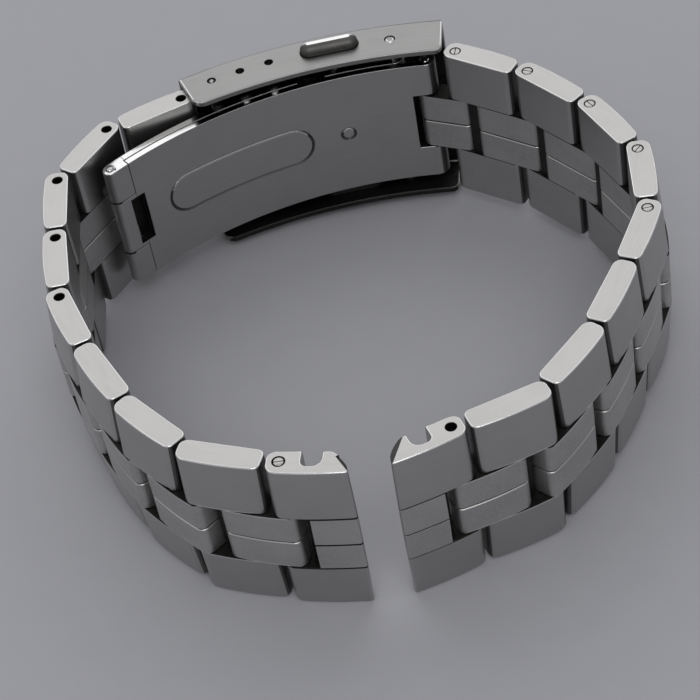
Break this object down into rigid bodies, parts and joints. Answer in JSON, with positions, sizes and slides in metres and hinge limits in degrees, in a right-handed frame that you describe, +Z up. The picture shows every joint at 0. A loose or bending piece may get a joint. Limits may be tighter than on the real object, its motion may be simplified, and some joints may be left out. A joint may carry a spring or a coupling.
{
  "type": "watch bracelet",
  "caption": "Steel link watch bracelet: pinned links with paired centre strips, a folding clasp with push buttons, and hooked end links.",
  "frame": {"origin": "middle of the bounding box on plan, at the lower tip of the lower push button", "axes": "+Z up, along every hinge pin; +Y from the watch gap to the clasp; +X to the right half"},
  "size_m": [0.0659, 0.0652, 0.024],
  "materials": {
    "link_steel": "satin brushed",
    "cover_steel": "satin brushed",
    "blade_steel": "satin brushed, polished edges",
    "button_steel": "polished",
    "pin_steel": "polished",
    "spring_steel": "satin"
  },
  "bodies": {
    "clasp_cover": {"clasp_cover": "cover_steel", "hinge_pin": "pin_steel", "bar_tube": "pin_steel", "bar_tips": "pin_steel", "bar_spring": "spring_steel", "button_spring": "spring_steel"},
    "middle_blade": {"middle_blade": "blade_steel", "tip_pin": "pin_steel"},
    "inner_blade": {"inner_blade": "blade_steel", "lug_pin": "pin_steel"},
    "connector_right": {"connector_right": "link_steel"},
    "connector_left": {"connector_left": "link_steel"},
    "link_r1": {"link_r1": "link_steel", "pin_r1": "pin_steel"},
    "link_r2": {"link_r2": "link_steel", "pin_r2": "pin_steel"},
    "link_r3": {"link_r3": "link_steel", "pin_r3": "pin_steel"},
    "link_r4": {"link_r4": "link_steel", "pin_r4": "pin_steel"},
    "link_r5": {"link_r5": "link_steel", "pin_r5": "pin_steel"},
    "link_r6": {"link_r6": "link_steel", "pin_r6": "pin_steel"},
    "link_r7": {"link_r7": "link_steel", "pin_r7": "pin_steel"},
    "link_r8": {"link_r8": "link_steel", "pin_r8": "pin_steel"},
    "link_l1": {"link_l1": "link_steel", "pin_l1": "pin_steel"},
    "link_l2": {"link_l2": "link_steel", "pin_l2": "pin_steel"},
    "link_l3": {"link_l3": "link_steel", "pin_l3": "pin_steel"},
    "link_l4": {"link_l4": "link_steel", "pin_l4": "pin_steel"},
    "link_l5": {"link_l5": "link_steel", "pin_l5": "pin_steel"},
    "link_l6": {"link_l6": "link_steel", "pin_l6": "pin_steel"},
    "link_l7": {"link_l7": "link_steel", "pin_l7": "pin_steel"},
    "link_l8": {"link_l8": "link_steel", "pin_l8": "pin_steel"},
    "end_link_right": {"end_link_right": "link_steel", "pin_end_right": "pin_steel"},
    "end_link_left": {"end_link_left": "link_steel", "pin_end_left": "pin_steel"},
    "button_upper": {"button_upper": "button_steel"},
    "button_lower": {"button_lower": "button_steel"}
  },
  "joints": [
    {"name": "blade_fold", "type": "hinge", "parent": "clasp_cover", "child": "middle_blade", "pos_m": [0.00674, 0.02975, 0.012], "axis": [0, 0, 1], "range_deg": [0, 165]},
    {"name": "blade_tip", "type": "hinge", "parent": "middle_blade", "child": "inner_blade", "pos_m": [-0.02562, 0.01747, 0.012], "axis": [0, 0, 1], "range_deg": [-165, 0]},
    {"name": "hinge_connector_right", "type": "hinge", "parent": "inner_blade", "child": "connector_right", "pos_m": [0.01029, 0.02851, 0.012], "axis": [0, 0, 1], "range_deg": [-3, 27]},
    {"name": "hinge_r1", "type": "hinge", "parent": "connector_right", "child": "link_r1", "pos_m": [0.0138, 0.02694, 0.012], "axis": [0, 0, -1], "range_deg": [-18.5, 3.5]},
    {"name": "hinge_r2", "type": "hinge", "parent": "link_r1", "child": "link_r2", "pos_m": [0.02128, 0.02175, 0.012], "axis": [0, 0, 1], "range_deg": [-4.5, 22.5]},
    {"name": "hinge_r3", "type": "hinge", "parent": "link_r2", "child": "link_r3", "pos_m": [0.02723, 0.01487, 0.012], "axis": [0, 0, -1], "range_deg": [-23.1, 29.9]},
    {"name": "hinge_r4", "type": "hinge", "parent": "link_r3", "child": "link_r4", "pos_m": [0.03117, 0.00667, 0.012], "axis": [0, 0, 1], "range_deg": [-17.1, 35.9]},
    {"name": "hinge_r5", "type": "hinge", "parent": "link_r4", "child": "link_r5", "pos_m": [0.03082, -0.00243, 0.012], "axis": [0, 0, -1], "range_deg": [-30.6, 22.4]},
    {"name": "hinge_r6", "type": "hinge", "parent": "link_r5", "child": "link_r6", "pos_m": [0.02701, -0.01069, 0.012], "axis": [0, 0, 1], "range_deg": [-40.8, 12.2]},
    {"name": "hinge_r7", "type": "hinge", "parent": "link_r6", "child": "link_r7", "pos_m": [0.02259, -0.01865, 0.012], "axis": [0, 0, -1], "range_deg": [-20.2, 32.8]},
    {"name": "hinge_r8", "type": "hinge", "parent": "link_r7", "child": "link_r8", "pos_m": [0.0166, -0.02549, 0.012], "axis": [0, 0, 1], "range_deg": [-15.5, 37.5]},
    {"name": "hinge_end_link_right", "type": "hinge", "parent": "link_r8", "child": "end_link_right", "pos_m": [0.00801, -0.0285, 0.012], "axis": [0, 0, -1], "range_deg": [-7.3, 45.7]},
    {"name": "hinge_connector_left", "type": "hinge", "parent": "clasp_cover", "child": "connector_left", "pos_m": [-0.01358, 0.02708, 0.012], "axis": [0, 0, 1], "range_deg": [-1, 2.5]},
    {"name": "hinge_l1", "type": "hinge", "parent": "connector_left", "child": "link_l1", "pos_m": [-0.01722, 0.02578, 0.012], "axis": [0, 0, -1], "range_deg": [-3, 9]},
    {"name": "hinge_l2", "type": "hinge", "parent": "link_l1", "child": "link_l2", "pos_m": [-0.02565, 0.02234, 0.012], "axis": [0, 0, 1], "range_deg": [-39.4, 3.5]},
    {"name": "hinge_l3", "type": "hinge", "parent": "link_l2", "child": "link_l3", "pos_m": [-0.03105, 0.01502, 0.012], "axis": [0, 0, -1], "range_deg": [-4.5, 44.3]},
    {"name": "hinge_l4", "type": "hinge", "parent": "link_l3", "child": "link_l4", "pos_m": [-0.03106, 0.00592, 0.012], "axis": [0, 0, 1], "range_deg": [-11.9, 41.1]},
    {"name": "hinge_l5", "type": "hinge", "parent": "link_l4", "child": "link_l5", "pos_m": [-0.03046, -0.00316, 0.012], "axis": [0, 0, -1], "range_deg": [-28.9, 24.1]},
    {"name": "hinge_l6", "type": "hinge", "parent": "link_l5", "child": "link_l6", "pos_m": [-0.02736, -0.01172, 0.012], "axis": [0, 0, 1], "range_deg": [-15.4, 37.6]},
    {"name": "hinge_l7", "type": "hinge", "parent": "link_l6", "child": "link_l7", "pos_m": [-0.02319, -0.01981, 0.012], "axis": [0, 0, -1], "range_deg": [-31.4, 21.6]},
    {"name": "hinge_l8", "type": "hinge", "parent": "link_l7", "child": "link_l8", "pos_m": [-0.01723, -0.02668, 0.012], "axis": [0, 0, 1], "range_deg": [-36.8, 16.2]},
    {"name": "hinge_end_link_left", "type": "hinge", "parent": "link_l8", "child": "end_link_left", "pos_m": [-0.0087, -0.02984, 0.012], "axis": [0, 0, -1], "range_deg": [-34.7, 18.3]},
    {"name": "press_upper", "type": "slide", "parent": "clasp_cover", "child": "button_upper", "axis": [0, 0, -1], "range_m": [0, 0.0008], "stiffness_N_per_m": 2500},
    {"name": "press_lower", "type": "slide", "parent": "clasp_cover", "child": "button_lower", "axis": [0, 0, 1], "range_m": [0, 0.0008], "stiffness_N_per_m": 2500}
  ],
  "couplings": [
    {"joint": "blade_tip", "follows": "blade_fold", "ratio": -1}
  ]
}
